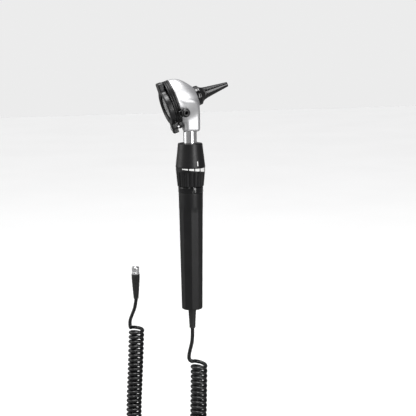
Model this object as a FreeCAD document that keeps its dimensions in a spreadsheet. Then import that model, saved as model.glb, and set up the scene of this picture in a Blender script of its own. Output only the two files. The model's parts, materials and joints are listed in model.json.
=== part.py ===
import FreeCAD, Part
import math
import os
import re
import Sketcher
from FreeCAD import Placement, Rotation, Vector

# A corded otoscope: an instrument head that lifts off a round handle, with a turning dimmer
# ring, a viewing window that swings aside, a slide-on ear speculum and a curly supply cord.
#
# Millimetres. +Z runs up the handle's axis, +X points the way the speculum points, and the
# origin is on the handle's axis at the middle of the seat ring, where a cradle holds it.

SIZES = {
    # gap at a fit, gap at a thread, and how far a cutting tool reaches past the piece
    "fit_gap": 0.02, "thread_gap": 0.03, "overshoot": 5,
    # seat ring, which a cradle's fork grips
    "seat_radius": 12.15, "seat_low": -3, "seat_high": 3, "seat_bore": 8.55,
    "spigot_radius": 9.72, "spigot_low": -11,
    "grub_radius": 1.2, "grub_height": -0.9, "grub_depth": 3.3,
    "grub_slot_depth": 0.6, "grub_slot_width": 0.4, "stop_pocket_depth": 3,
    # handle shell
    "shell_top_radius": 11.9, "shell_base_radius": 10.4, "shell_base": -119.8,
    "shell_wall": 1.95, "shell_round": 1.2, "cord_hole": 3.3,
    "flat_top": -18.9, "flat_depth": 0.55, "flat_count": 9, "flat_reach": 6,
    "flat_width": 16, "flat_turn": -84,
    # stem that carries the dimmer ring and the collar
    "stem_radius": 8.5, "stem_bore": 4.6, "stem_low": -14, "stem_high": 26,
    "nut_radius": 9.5, "nut_low": -15.2, "nut_high": -11.2,
    # dimmer ring and what is inside it
    "dimmer_low": 3.2, "dimmer_low_radius": 12.85, "dimmer_top_radius": 14.2,
    "flute_top": 18.3, "dimmer_high": 21.7, "dimmer_bore": 8.56, "dimmer_floor": 6,
    "dimmer_cavity": 11.2, "flute_radius": 1.5, "flute_sink": 0.7, "flute_count": 17,
    "flute_turn": 16, "flute_lean": 0.6, "stop_slot_depth": 3,
    "stop_radius": 0.8, "stop_place": 10.2, "stop_low": 1, "stop_high": 5.4,
    "turn_back": 43, "turn_on": 65, "stop_slack": 0.3, "stop_margin": 6,
    "carrier_bore": 9.2, "carrier_high": 8.8,
    "wiper_width": 2.4, "wiper_thickness": 0.3, "wiper_high": 10.8, "wiper_reach": 1.2,
    "track_low": 10.9, "track_high": 12.5, "track_radius": 10.9,
    "washer_low": 20.5, "washer_high": 21.6, "mark_proud": 0.25,
    # collar, a cone with the bayonet socket in it
    "collar_low": 21.9, "collar_high": 45, "collar_low_radius": 14.5,
    "collar_high_radius": 11.85, "socket_floor": 28.2, "neck_gap": 0.08,
    "slot_radius": 8.0, "lug_width": 2.6, "lug_reach": 7.6, "lug_low": 31,
    "lug_high": 33, "slot_width": 3.2, "lug_turn": 30, "lug_count": 3, "slot_depth": 20,
    "index_turn": 16, "index_thickness": 0.3, "index_width": 1, "index_length": 4.5,
    "index_rise": 2,
    # contact pin in the stem
    "insulator_low": 12, "insulator_high": 27.8, "insulator_radius": 4.55,
    "spring_chamber": 2.4, "spring_floor": 13.5, "pin_stop": 25,
    "pin_radius": 1.2, "pin_hole": 1.27, "pin_tip": 30.2, "pin_collar_radius": 2.25,
    "pin_collar_low": 22.6, "pin_tail_radius": 0.9, "pin_tail": 19,
    "spring_radius": 1.75, "spring_wire": 0.25, "spring_pitch": 0.9, "spring_turns": 10,
    # neck tube and lamp
    "neck_radius": 6.5, "neck_bore": 4.9, "neck_low": 30, "neck_high": 66,
    "lamp_radius": 4.8, "lamp_low": 31, "lamp_high": 49.2, "lamp_contact_radius": 1.6,
    "lamp_contact_low": 30.35, "bulb_radius": 3.1, "bulb_high": 55.5,
    "ferrule_low": 57, "ferrule_high": 64, "guide_radius": 1.5, "ferrule_radius": 4.85,
    # optical axis
    "axis_tilt": 18.9, "base_forward": 6.9, "base_height": 90.3,
    # head housing, along the optical axis
    "funnel_back": -22, "funnel_front": -1, "chamber_back": 13.3, "chamber_front": 4.9,
    "chamber_end": -3, "mount_hole": 5.0,
    # speculum mount, holder ring and speculum, along the optical axis
    "mount_base_radius": 4.95, "mount_tip_radius": 4.2, "mount_tip": 10,
    "mount_bore": 3.5, "light_ring_tip": 10.8,
    "holder_radius": 9.6, "holder_bore": 5.05, "holder_tip": 1.6,
    "speculum_back": 1.7, "speculum_flange": 9.4, "flange_tip": 3.0,
    "cone_back": 6, "cone_base_radius": 5.75, "speculum_tip": 32.7,
    "tip_radius": 2.25, "tip_wall": 0.5, "cone_wall": 0.75,
    # rear ring, window and pivot, along the optical axis
    "ring_back": -27.6, "oval_half_height": 21.0, "oval_half_width": 15.6,
    "oval_rise": 3.2, "ring_bore": 13.3, "seal_inner": 14.0, "seal_outer": 14.9,
    "seal_depth": 1.0, "seal_proud": 0.15,
    "window_back": -33.4, "window_front": -27.9, "window_radius": 16.4,
    "window_drop": -0.5, "tab_top": 24.2, "tab_half_width": 6.2,
    "tab_round": 2.0, "tab_low": 8, "stud_radius": 0.5, "stud_depth": 1.6, "stud_drop": 2.6,
    "stud_pitch": 2.2, "stud_count": 2,
    "view_radius": 12.9, "lens_seat": 13.6, "lens_radius": 13.5, "lens_back": -32.9,
    "lens_front": -29.4, "lens_curve": 45, "lens_shelf": -31.2, "retainer_front": -28.2,
    "pivot_drop": -20.8, "pivot_radius": 1.5, "pivot_bore": 1.55, "pivot_front": -23,
    "lug_back": -26, "lug_radius": 3.0, "window_lug_radius": 3.6, "foot_low": -26.4,
    "foot_high": -23, "foot_half_width": 3.0, "bushing_radius": 2.6,
    "pivot_head": 2.3, "pivot_head_back": -34.2,
    # screws between the rear ring and the housing, along the optical axis
    "screw_rise": 18.2, "screw_side": 4.2, "screw_radius": 0.85, "screw_tip": -19,
    "screw_hole": 0.9, "screw_hole_end": -15, "screw_pass": 1.05, "screw_seat": -26,
    "screw_head": 1.8, "screw_head_back": -27.2, "screw_recess": 2,
    # insufflation nipple on the rear ring's arm
    "arm_inner": 14.5, "arm_outer": 16.6, "arm_low": -11.4, "arm_high": -5.8,
    "arm_front": -15, "arm_back": -25, "arm_root": 11, "arm_root_depth": 3,
    "nipple_forward": -19.9, "nipple_rise": -8.6,
    "nipple_radius": 4.3, "nipple_length": 5.4, "nipple_bore": 1.2, "nipple_turn": 10,
    "nipple_flange": 1.9, "nipple_step": 1.6,
    # cord and its fittings
    "relief_top_radius": 3.8, "relief_tip_radius": 2.95, "relief_tip": -140,
    "relief_flange": 5.6, "relief_flange_high": -115, "relief_inner": -117.3,
    "cord_radius": 1.9, "coil_radius": 8.6, "stub_top": -103,
    "clamp_low": -111, "clamp_high": -106, "clamp_radius": 8.0, "clamp_hole": 1.95,
    "clamp_screw_radius": 1.0, "clamp_screw_place": 5.2, "clamp_head_high": 1.2,
    "wire_radius": 0.5,
    "far_forward": -37, "far_side": 103, "far_top": -105.8, "far_tip": -133,
    "far_top_radius": 4.45, "far_tip_radius": 2.7,
    "ferrule_top": -97.8, "ferrule_outer": 4.0, "ferrule_bore_radius": 2.2,
}

# Funnel of the housing: distance along the optical axis, then the oval's half height,
# its half width and how far its centre lies above the optical axis.
FUNNEL = [(-22, 21.2, 15.6, 3.2), (-15, 19.95, 15.2, 2.95), (-9, 17.05, 14.0, 2.05),
          (-4.5, 13.25, 12.0, 0.95), (-1, 9.6, 9.6, 0)]

# Lower block of the housing: height, back, front, half width and corner radius.
BLOCK = [(56.3, -6.75, 7.4, 6.9, 5.5), (58.6, -6.8, 8.8, 7.7, 4.5), (68, -6.9, 9.2, 7.9, 4.5),
         (76, -8.0, 9.2, 9.4, 5), (80, -9.3, 8.3, 10.9, 6), (84, -10.5, 5.5, 13.0, 7)]

# Scale on the dimmer ring: first angle and width in degrees, and height.
SCALE = [(-138, 25, 0.8), (-109, 21, 1.6), (-86, 21, 2.4), (-60, 29, 3.2)]

# Cord routes, point by point, from the handle to the far fitting.
LEAD_ROUTE = [(0, 0, -140), (-1.2, 0, -148), (0.6, -0.6, -157.5), (4.9, -1.4, -166.8),
              (5.9, -1.6, -177)]
COIL_ROUTE = [(5.9, -1.6, -177), (5.4, -1.4, -218), (3.4, -0.4, -264), (1.0, 3.2, -304),
              (-7.0, 21.2, -337), (-20.6, 52.4, -352), (-34.2, 83.4, -338.5),
              (-41.6, 100.8, -306), (-42.6, 103.8, -262.5), (-39.4, 103.3, -213.5),
              (-37.2, 103.1, -170.4)]
TAIL_ROUTE = [(-37.2, 103.1, -170.4), (-38.2, 103.3, -161.3), (-40.4, 103.8, -152.5),
              (-38.6, 103.4, -142.7), (-37, 103, -133)]

# Route of the light guide, from the lamp to the chamber's wall.
GUIDE_ROUTE = [(0, 0, 57.3), (0, 0, 68), (1.2, 0, 75), (4.4, 0, 80), (7.0, 0, 83.1)]

# Conductors inside the handle, from the contact pin and the resistor track to the cord.
PIN_LEAD = [(0, 0, 17.2), (0, 0.2, 8), (1.6, 0.6, -20), (1.8, 0.4, -60), (1.0, 0, -102.9)]
TRACK_LEAD = [(0, 7.4, -15.4), (0.4, 6.4, -30), (-1.2, 2.2, -60), (-1.0, 0, -102.9)]

doc = FreeCAD.newDocument("otoscope")
sheet = doc.addObject("Spreadsheet::Sheet", "Sizes")
for row, (alias, size) in enumerate(SIZES.items(), start=1):
    sheet.set(f"A{row}", alias)
    sheet.set(f"B{row}", str(size))
    sheet.setAlias(f"B{row}", alias)
doc.recompute()

nodes = []


# ---- helpers -------------------------------------------------------------------------

def bind(text):
    """Turn an expression in the sheet's aliases into one that another object can hold."""
    return re.sub(r"\b[a-z][a-z_0-9]*\b(?!\()", r"Sizes.\g<0>", str(text))


def value(text):
    """The number that an expression in the sheet's aliases comes to."""
    result = sheet.evalExpression(bind(text))
    return float(getattr(result, "Value", result))


def as_node(thing, label):
    """Name a finished piece and list it for export."""
    thing.Label = label
    nodes.append(thing)
    return thing


def optical_axis():
    """Local +Z along the optical axis, local +X up from it, local +Y to the nipple's side."""
    half = math.radians((90 + value("axis_tilt")) / 2)
    turn = Rotation(Vector(math.cos(half), 0, math.sin(half)), 180)
    return Placement(Vector(value("base_forward"), 0, value("base_height")), turn)


def origin_plane(body, role):
    return next(plane for plane in body.Origin.OriginFeatures if plane.Role == role)


def turned(name, outline, place=None):
    """A PartDesign body: an outline of (radius, height) corners turned about local Z."""
    body = doc.addObject("PartDesign::Body", name)
    sketch = body.newObject("Sketcher::SketchObject", name + "_outline")
    sketch.AttachmentSupport = [(origin_plane(body, "XZ_Plane"), "")]
    sketch.MapMode = "FlatFace"
    corners = [Vector(value(radius), value(height), 0) for radius, height in outline]
    count = len(corners)
    for index in range(count):
        sketch.addGeometry(Part.LineSegment(corners[index], corners[(index + 1) % count]))
    for index in range(count):
        join = Sketcher.Constraint("Coincident", index, 2, (index + 1) % count, 1)
        sketch.addConstraint(join)
    for index, corner in enumerate(outline):
        for kind, text in zip(("DistanceX", "DistanceY"), corner):
            size = Sketcher.Constraint(kind, -1, 1, index, 1, value(text))
            number = sketch.addConstraint(size)
            sketch.setExpression(f"Constraints[{number}]", bind(text))
    revolution = body.newObject("PartDesign::Revolution", name + "_turn")
    revolution.Profile = sketch
    revolution.ReferenceAxis = (sketch, ["V_Axis"])
    revolution.Angle = 360
    if place is not None:
        body.Placement = place
    doc.recompute()
    return body


def tube_outline(inner, outer, low, high):
    """Corners of a plain ring's section."""
    return [(inner, low), (outer, low), (outer, high), (inner, high)]


def set_sizes(thing, **sizes):
    for name, text in sizes.items():
        thing.setExpression(name, bind(text))


def set_place(thing, place, turn=None):
    """Give a primitive its rotation, and bind its position to the sheet where one is given."""
    thing.Placement = Placement(Vector(), turn or Rotation())
    for axis, text in zip("xyz", place or ()):
        thing.setExpression(f"Placement.Base.{axis}", bind(text))


def cylinder(name, radius, height, place=None, along=None):
    rod = doc.addObject("Part::Cylinder", name)
    set_sizes(rod, Radius=radius, Height=height)
    turn = Rotation(Vector(0, 0, 1), along) if along else None
    set_place(rod, place, turn)
    return rod


def box(name, sizes, place=None, turn=None):
    block = doc.addObject("Part::Box", name)
    set_sizes(block, Length=sizes[0], Width=sizes[1], Height=sizes[2])
    set_place(block, place, turn)
    return block


def fuse(name, *shapes):
    joined = doc.addObject("Part::MultiFuse", name)
    joined.Shapes = list(shapes)
    return joined


def group(name, *shapes):
    """Several separate solids kept as one object."""
    gathered = doc.addObject("Part::Compound", name)
    gathered.Links = list(shapes)
    return gathered


def cut(name, base, *tools):
    carved = doc.addObject("Part::Cut", name)
    carved.Base = base
    carved.Tool = tools[0] if len(tools) == 1 else fuse(name + "_tools", *tools)
    return carved


def rounded(name, base, size, chosen):
    """Round the edges that chosen(edge) picks."""
    doc.recompute()
    fillet = doc.addObject("Part::Fillet", name)
    fillet.Base = base
    radius = value(size)
    edges = enumerate(base.Shape.Edges, start=1)
    fillet.Edges = [(number, radius, radius) for number, edge in edges if chosen(edge)]
    return fillet


def around(name, make, count, first=0.0):
    """Copies of a tool spaced evenly round the handle's axis."""
    step = 360.0 / count
    return [make(f"{name}_{index}", first + index * step) for index in range(count)]


def smooth_path(points):
    """Straight runs joined by tangent arcs, with each arc's radius."""
    points = [Vector(*point) for point in points]
    edges = []
    radii = []
    start = points[0]
    for before, corner, after in zip(points, points[1:], points[2:]):
        back = before - corner
        onward = after - corner
        trim = 0.45 * min(back.Length, onward.Length)
        half_turn = (math.pi - back.getAngle(onward)) / 2
        radius = trim / math.tan(half_turn)
        back.normalize()
        onward.normalize()
        inward = (back + onward).normalize()
        middle = corner + inward * (radius / math.cos(half_turn) - radius)
        enter = corner + back * trim
        leave = corner + onward * trim
        edges.append(Part.LineSegment(start, enter).toShape())
        edges.append(Part.Arc(enter, middle, leave).toShape())
        radii.append(radius)
        start = leave
    edges.append(Part.LineSegment(start, points[-1]).toShape())
    return Part.Wire(edges), radii


def swept(name, points, radius):
    """A round solid along a route; its volume is compared with section times length."""
    path, radii = smooth_path(points)
    size = value(radius)
    start = path.Edges[0]
    heading = start.tangentAt(start.FirstParameter)
    section = Part.Wire(Part.makeCircle(size, path.Vertexes[0].Point, heading))
    shell = Part.BRepOffsetAPI.MakePipeShell(path)
    shell.setFrenetMode(True)
    shell.add(section)
    shell.build()
    shell.makeSolid()
    tube = doc.addObject("Part::Feature", name)
    tube.Shape = shell.shape()
    expected = math.pi * size ** 2 * path.Length
    print(f"{name}: length {path.Length:.1f} mm, volume {tube.Shape.Volume / expected:.4f} of"
          f" section times length, radii {[round(bend, 1) for bend in radii]}")
    return tube


# ---- handle --------------------------------------------------------------------------

def handle_shell():
    inner_top = "shell_top_radius - shell_wall"
    inner_base = "shell_base_radius - shell_wall"
    blank = turned("shell_blank", [
        ("cord_hole", "shell_base"), ("shell_base_radius", "shell_base"),
        ("shell_top_radius", "seat_low"), (inner_top, "seat_low"),
        (inner_base, "relief_inner"), ("cord_hole", "relief_inner")])
    base_radius = value("shell_base_radius")
    base = value("shell_base")
    soft = rounded("shell_rounded", blank, "shell_round",
                   lambda edge: abs(edge.CenterOfMass.z - base) < 0.01
                   and abs(edge.BoundBox.XMax - base_radius) < 0.01)
    taper = math.degrees(math.atan2(value("shell_top_radius - shell_base_radius"),
                                    value("seat_low - shell_base")))

    def flat(name, angle):
        """A cutting block whose inner face follows the shell's taper."""
        lean = Rotation(Vector(0, 0, 1), angle) * Rotation(Vector(0, 1, 0), taper)
        face = value("shell_top_radius - flat_depth")
        corner = lean.multVec(Vector(0, -value("flat_width") / 2,
                                     value("shell_base - overshoot")))
        out = Rotation(Vector(0, 0, 1), angle).multVec(Vector(face, 0, 0))
        tool = box(name, ("flat_reach", "flat_width", "flat_top - shell_base + overshoot"))
        tool.Placement = Placement(corner + out, lean)
        return tool

    flats = around("flat", flat, int(value("flat_count")), value("flat_turn"))
    return as_node(cut("handle_shell", soft, *flats), "handle_shell")


def seat_ring():
    blank = turned("seat_blank", [
        ("seat_bore", "spigot_low"), ("spigot_radius", "spigot_low"),
        ("spigot_radius", "seat_low"), ("seat_radius", "seat_low"),
        ("seat_radius", "seat_high"), ("seat_bore", "seat_high")])
    hole = cylinder("grub_hole", "grub_radius + fit_gap", "seat_radius - seat_bore + 2",
                    ("0", "-seat_radius - 1", "grub_height"), Vector(0, 1, 0))
    pocket = cylinder("stop_pocket", "stop_radius + fit_gap", "stop_pocket_depth",
                      ("0", "-stop_place", "stop_low - fit_gap"))
    as_node(cut("seat_ring", blank, hole, pocket), "seat_ring")
    screw = cylinder("grub_body", "grub_radius", "grub_depth",
                     ("0", "-seat_bore - grub_depth", "grub_height"), Vector(0, 1, 0))
    slot = box("grub_slot", ("4 * grub_radius", "2 * grub_slot_depth", "grub_slot_width"),
               ("-2 * grub_radius", "-seat_bore - grub_depth - grub_slot_depth",
                "grub_height - grub_slot_width / 2"))
    as_node(cut("grub_screw", screw, slot), "grub_screw")
    stop = cylinder("stop_pin", "stop_radius", "stop_high - stop_low",
                    ("0", "-stop_place", "stop_low"))
    as_node(stop, "stop_pin")


def stem_and_nut():
    as_node(turned("stem", tube_outline("stem_bore", "stem_radius", "stem_low", "stem_high")),
            "stem")
    as_node(turned("lock_nut", tube_outline("stem_radius + thread_gap", "nut_radius", "nut_low",
                                            "nut_high")), "lock_nut")


def dimmer():
    """The fluted ring, its printed scale, and the wiper that it turns along the track."""
    blank = turned("dimmer_blank", [
        ("dimmer_bore", "dimmer_low"), ("dimmer_low_radius", "dimmer_low"),
        ("dimmer_top_radius", "flute_top"), ("dimmer_top_radius", "dimmer_high"),
        ("dimmer_cavity", "dimmer_high"), ("dimmer_cavity", "dimmer_floor"),
        ("dimmer_bore", "dimmer_floor")])

    def flute(name, angle):
        """A leaning rod that leaves a rounded channel between two grips."""
        turn = Rotation(Vector(0, 0, 1), angle)
        reach = "flute_radius - flute_sink"
        low = turn.multVec(Vector(value("dimmer_low_radius + " + reach), 0,
                                  value("dimmer_low") - 1))
        high = turn.multVec(Vector(value("dimmer_top_radius + " + reach), 0,
                                   value("flute_top - flute_lean")))
        rod = cylinder(name, "flute_radius", "flute_top - dimmer_low + 1 - flute_lean")
        rod.Placement = Placement(low, Rotation(Vector(0, 0, 1), high - low))
        return rod

    flutes = around("flute", flute, int(value("flute_count")), value("flute_turn"))
    slot = doc.addObject("Part::Cylinder", "stop_slot")
    set_sizes(slot, Radius="stop_place + stop_radius + stop_slack",
              Height="stop_slot_depth + 1", Angle="turn_back + turn_on + 2 * stop_margin")
    slot.Placement = Placement(Vector(0, 0, value("dimmer_low") - 1),
                               Rotation(Vector(0, 0, 1), -90 - value("turn_on + stop_margin")))
    core = cylinder("stop_slot_core", "stop_place - stop_radius - stop_slack",
                    "stop_slot_depth + 3", ("0", "0", "dimmer_low - 2"))
    arc_slot = cut("stop_arc", slot, core)
    as_node(cut("dimmer_ring", blank, arc_slot, *flutes), "dimmer_ring")

    marks = []
    for index, (first, width, height) in enumerate(SCALE):
        wedge = doc.addObject("Part::Cylinder", f"mark_{index}")
        set_sizes(wedge, Radius="dimmer_top_radius + mark_proud")
        wedge.Height = height
        wedge.Angle = width
        wedge.Placement = Placement(Vector(0, 0, value("dimmer_high") - height),
                                    Rotation(Vector(0, 0, 1), first))
        core = cylinder(f"mark_core_{index}", "dimmer_top_radius", "collar_high")
        marks.append(cut(f"mark_ring_{index}", wedge, core))
    as_node(group("scale_marks", *marks), "scale_marks")

    as_node(turned("wiper_carrier", tube_outline("carrier_bore", "dimmer_cavity - fit_gap",
                                                 "dimmer_floor", "carrier_high")),
            "wiper_carrier")
    leaf_low = "carrier_high"
    rise = "wiper_high - carrier_high"
    place_x = "(carrier_bore + dimmer_cavity) / 2"
    post = box("wiper_post", ("wiper_thickness", "wiper_width", rise),
               (place_x, "-wiper_width / 2", leaf_low))
    foot = box("wiper_foot", ("wiper_reach", "wiper_width", "wiper_thickness"),
               (place_x + " - wiper_reach", "-wiper_width / 2", leaf_low))
    shoe = box("wiper_shoe", ("wiper_reach", "wiper_width", "wiper_thickness"),
               (place_x + " - wiper_reach", "-wiper_width / 2",
                "wiper_high - wiper_thickness"))
    as_node(fuse("wiper", post, foot, shoe), "wiper")
    as_node(turned("resistor_track", tube_outline("stem_radius + thread_gap", "track_radius",
                                                  "track_low", "track_high")),
            "resistor_track")
    as_node(turned("thrust_washer", tube_outline("stem_radius + thread_gap", "dimmer_cavity - 0.3",
                                                 "washer_low", "washer_high")),
            "thrust_washer")


def collar():
    blank = turned("collar_blank", [
        ("stem_radius + thread_gap", "collar_low"), ("collar_low_radius", "collar_low"),
        ("collar_high_radius", "collar_high"), ("neck_radius + neck_gap", "collar_high"),
        ("neck_radius + neck_gap", "socket_floor"), ("stem_radius + thread_gap", "socket_floor")])

    def slot(name, angle):
        """A channel that one bayonet lug passes along."""
        tool = box(name, ("slot_radius", "slot_width", "slot_depth"))
        turn = Rotation(Vector(0, 0, 1), angle)
        corner = turn.multVec(Vector(0, -value("slot_width") / 2, 0))
        tool.Placement = Placement(corner + Vector(0, 0, value("socket_floor - 1")), turn)
        return tool

    slots = around("lug_slot", slot, int(value("lug_count")), value("lug_turn"))
    as_node(cut("collar", blank, *slots), "collar")
    slope = math.degrees(math.atan2(value("collar_low_radius - collar_high_radius"),
                                    value("collar_high - collar_low")))
    mark = box("index_mark", ("index_thickness", "index_width", "index_length"))
    around_turn = Rotation(Vector(0, 0, 1), -90 + value("index_turn"))
    face = Vector(value("collar_low_radius"), -value("index_width") / 2, value("collar_low"))
    lean = Rotation(Vector(0, 1, 0), -slope)
    corner = face + lean.multVec(Vector(value("fit_gap"), 0, value("index_rise")))
    mark.Placement = Placement(around_turn.multVec(corner), around_turn * lean)
    as_node(mark, "index_mark")


def contact():
    """Sprung contact pin, its coil spring and the insulator that guides them."""
    as_node(turned("pin_insulator", [
        ("spring_chamber", "spring_floor"), ("spring_chamber", "pin_stop"),
        ("pin_hole", "pin_stop"), ("pin_hole", "insulator_high"),
        ("insulator_radius", "insulator_high"), ("insulator_radius", "insulator_low"),
        ("pin_tail_radius + 0.1", "insulator_low"),
        ("pin_tail_radius + 0.1", "spring_floor")]), "pin_insulator")
    as_node(turned("contact_pin", [
        ("0", "pin_tail"), ("pin_tail_radius", "pin_tail"),
        ("pin_tail_radius", "pin_collar_low"), ("pin_collar_radius", "pin_collar_low"),
        ("pin_collar_radius", "pin_stop - 0.1"), ("pin_radius", "pin_stop - 0.1"),
        ("pin_radius", "pin_tip - 0.4"), ("pin_radius - 0.4", "pin_tip"), ("0", "pin_tip")]),
        "contact_pin")
    low = "spring_floor + 0.05"
    outline = [("spring_radius - spring_wire", f"{low} + spring_turns * spring_pitch"),
               ("spring_radius - spring_wire", low)]
    for turn in range(int(value("spring_turns"))):
        foot = f"{low} + {turn} * spring_pitch"
        outline.append(("spring_radius", foot))
        outline.append(("spring_radius + spring_wire", foot + " + spring_pitch / 2"))
    outline.append(("spring_radius", f"{low} + spring_turns * spring_pitch"))
    as_node(turned("contact_spring", outline), "contact_spring")


def conductors():
    as_node(swept("pin_conductor", PIN_LEAD, "wire_radius"), "pin_conductor")
    as_node(swept("track_conductor", TRACK_LEAD, "wire_radius"), "track_conductor")


# ---- cord and its fittings -------------------------------------------------------------

def cord():
    as_node(turned("strain_relief", [
        ("0", "relief_tip"), ("relief_tip_radius - 0.4", "relief_tip"),
        ("relief_tip_radius", "relief_tip + 0.6"), ("relief_top_radius", "shell_base"),
        ("cord_hole - fit_gap", "shell_base"), ("cord_hole - fit_gap", "relief_inner"),
        ("relief_flange", "relief_inner"), ("relief_flange", "relief_flange_high"),
        ("0", "relief_flange_high")]), "strain_relief")
    stub = cylinder("cord_stub", "cord_radius", "stub_top - relief_flange_high",
                    ("0", "0", "relief_flange_high"))
    as_node(stub, "cord_stub")
    disc = cylinder("clamp_disc", "clamp_radius", "clamp_high - clamp_low",
                    ("0", "0", "clamp_low"))
    hole = cylinder("clamp_opening", "clamp_hole", "clamp_high - clamp_low + 2 * overshoot",
                    ("0", "0", "clamp_low - overshoot"))
    bores = []
    screws = []
    for side in (-1, 1):
        place = (f"{side} * clamp_screw_place", "0", "clamp_low - 1")
        bores.append(cylinder(f"clamp_bore_{side + 1}", "clamp_screw_radius + 0.05", "8", place))
        shaft_place = (f"{side} * clamp_screw_place", "0", "clamp_low + 0.5")
        head_place = (f"{side} * clamp_screw_place", "0", "clamp_high")
        shaft = cylinder(f"clamp_shaft_{side + 1}", "clamp_screw_radius",
                         "clamp_high - clamp_low - 0.5", shaft_place)
        head = cylinder(f"clamp_head_{side + 1}", "2 * clamp_screw_radius", "clamp_head_high",
                        head_place)
        screws.append(fuse(f"clamp_screw_{side + 1}", shaft, head))
    as_node(cut("cord_clamp", disc, hole, *bores), "cord_clamp")
    as_node(group("clamp_screws", *screws), "clamp_screws")

    as_node(swept("cord_lead", LEAD_ROUTE, "cord_radius"), "cord_lead")
    as_node(swept("cord_coil", COIL_ROUTE, "coil_radius"), "cord_coil")
    as_node(swept("cord_tail", TAIL_ROUTE, "cord_radius"), "cord_tail")

    far = Placement(Vector(value("far_forward"), value("far_side"), 0), Rotation())
    as_node(turned("far_relief", [
        ("0", "far_tip"), ("far_tip_radius - 0.3", "far_tip"),
        ("far_tip_radius", "far_tip + 0.6"), ("far_top_radius", "far_top - 3"),
        ("far_top_radius", "far_top"), ("0", "far_top")], far), "far_relief")
    as_node(turned("outlet_ferrule", tube_outline("ferrule_bore_radius", "ferrule_outer",
                                                  "far_top", "ferrule_top"), far),
            "outlet_ferrule")


# ---- head ------------------------------------------------------------------------------

def neck_and_lamp():
    sleeve = turned("neck_sleeve", tube_outline("neck_bore", "neck_radius", "neck_low",
                                                "neck_high"))

    def lug(name, angle):
        tool = box(name, ("lug_reach - neck_bore", "lug_width", "lug_high - lug_low"))
        turn = Rotation(Vector(0, 0, 1), angle)
        corner = Vector(value("neck_bore") + 0.4, -value("lug_width") / 2, value("lug_low"))
        tool.Placement = Placement(turn.multVec(corner), turn)
        return tool

    as_node(fuse("neck", sleeve, *around("neck_lug", lug, int(value("lug_count")),
                                        value("lug_turn"))), "neck")
    as_node(cylinder("lamp_contact", "lamp_contact_radius", "lamp_low - lamp_contact_low",
                     ("0", "0", "lamp_contact_low")), "lamp_contact")
    as_node(turned("lamp_body", [
        ("0", "lamp_low"), ("lamp_radius", "lamp_low"), ("lamp_radius", "lamp_high"),
        ("0", "lamp_high")]), "lamp_body")
    dome = doc.addObject("Part::Sphere", "bulb_dome")
    set_sizes(dome, Radius="bulb_radius")
    set_place(dome, ("0", "0", "bulb_high - bulb_radius"))
    wall = cylinder("bulb_wall", "bulb_radius", "bulb_high - bulb_radius - lamp_high",
                    ("0", "0", "lamp_high"))
    as_node(fuse("lamp_bulb", dome, wall), "lamp_bulb")
    as_node(turned("guide_ferrule", tube_outline("guide_radius + 0.05", "ferrule_radius",
                                                 "ferrule_low", "ferrule_high")),
            "guide_ferrule")


def housing():
    """A funnel round the optical axis on a block that holds the neck."""
    place = optical_axis()
    ovals = []
    for index, (along, half_height, half_width, rise) in enumerate(FUNNEL):
        oval = doc.addObject("Part::Ellipse", f"funnel_oval_{index}")
        oval.MajorRadius = half_height
        oval.MinorRadius = half_width
        oval.Placement = Placement(Vector(rise, 0, along), Rotation())
        ovals.append(oval)
    # The last section is a circle, and an ellipse needs a major radius that is a hair larger.
    ovals[-1].MajorRadius = FUNNEL[-1][1] + 0.001
    funnel = doc.addObject("Part::Loft", "funnel")
    funnel.Sections = ovals
    funnel.Solid = True
    funnel.Ruled = False
    funnel.Placement = place

    wires = []
    for height, back, front, half_width, corner in BLOCK:
        outline = Part.makePlane(front - back, 2 * half_width, Vector(back, -half_width, height))
        prism = outline.extrude(Vector(0, 0, 1))
        upright = [edge for edge in prism.Edges
                   if abs(edge.BoundBox.ZLength - 1) < 1e-6]
        soft = prism.makeFillet(corner, upright)
        base = min(soft.Faces, key=lambda face: face.CenterOfMass.z)
        wires.append(base.OuterWire)
    block = doc.addObject("Part::Feature", "housing_block")
    block.Shape = Part.makeLoft(wires, True, False)

    body = fuse("housing_body", funnel, block)
    chamber = turned("chamber_core", [
        ("0", "funnel_back - 1"), ("chamber_back", "funnel_back - 1"),
        ("chamber_front", "chamber_end"), ("0", "chamber_end")], place)
    front = turned("front_core", [
        ("0", "chamber_end - 1"), ("mount_hole", "chamber_end - 1"),
        ("mount_hole", "funnel_front + 1"), ("0", "funnel_front + 1")], place)
    neck_hole = cylinder("neck_hole", "neck_radius + fit_gap", "neck_high - neck_low",
                         ("0", "0", "neck_low"))
    channel = swept("guide_channel", GUIDE_ROUTE, "guide_radius + 0.1")
    arm_hole = cylinder("arm_relief", "nipple_bore", "12")
    arm_hole.Placement = place * Placement(
        Vector(value("nipple_rise"), 8, value("nipple_forward")),
        Rotation(Vector(0, 0, 1), Vector(0, 1, 0)))
    screws = ring_screw_rods("housing_screw_hole", place, "screw_hole", "funnel_back - 1",
                             "screw_hole_end")
    as_node(cut("housing", body, chamber, front, neck_hole, channel, arm_hole, *screws),
            "housing")
    as_node(swept("light_guide", GUIDE_ROUTE, "guide_radius"), "light_guide")


def ring_screw_rods(name, place, radius, low, high):
    """Rods at the two places where the rear ring is screwed to the housing."""
    rods = []
    for index, side in enumerate((-1, 1)):
        rod = cylinder(f"{name}_{index}", radius, f"{high} - ({low})")
        foot = Vector(value("screw_rise"), side * value("screw_side"), value(low))
        rod.Placement = place * Placement(foot, Rotation())
        rods.append(rod)
    return rods


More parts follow.
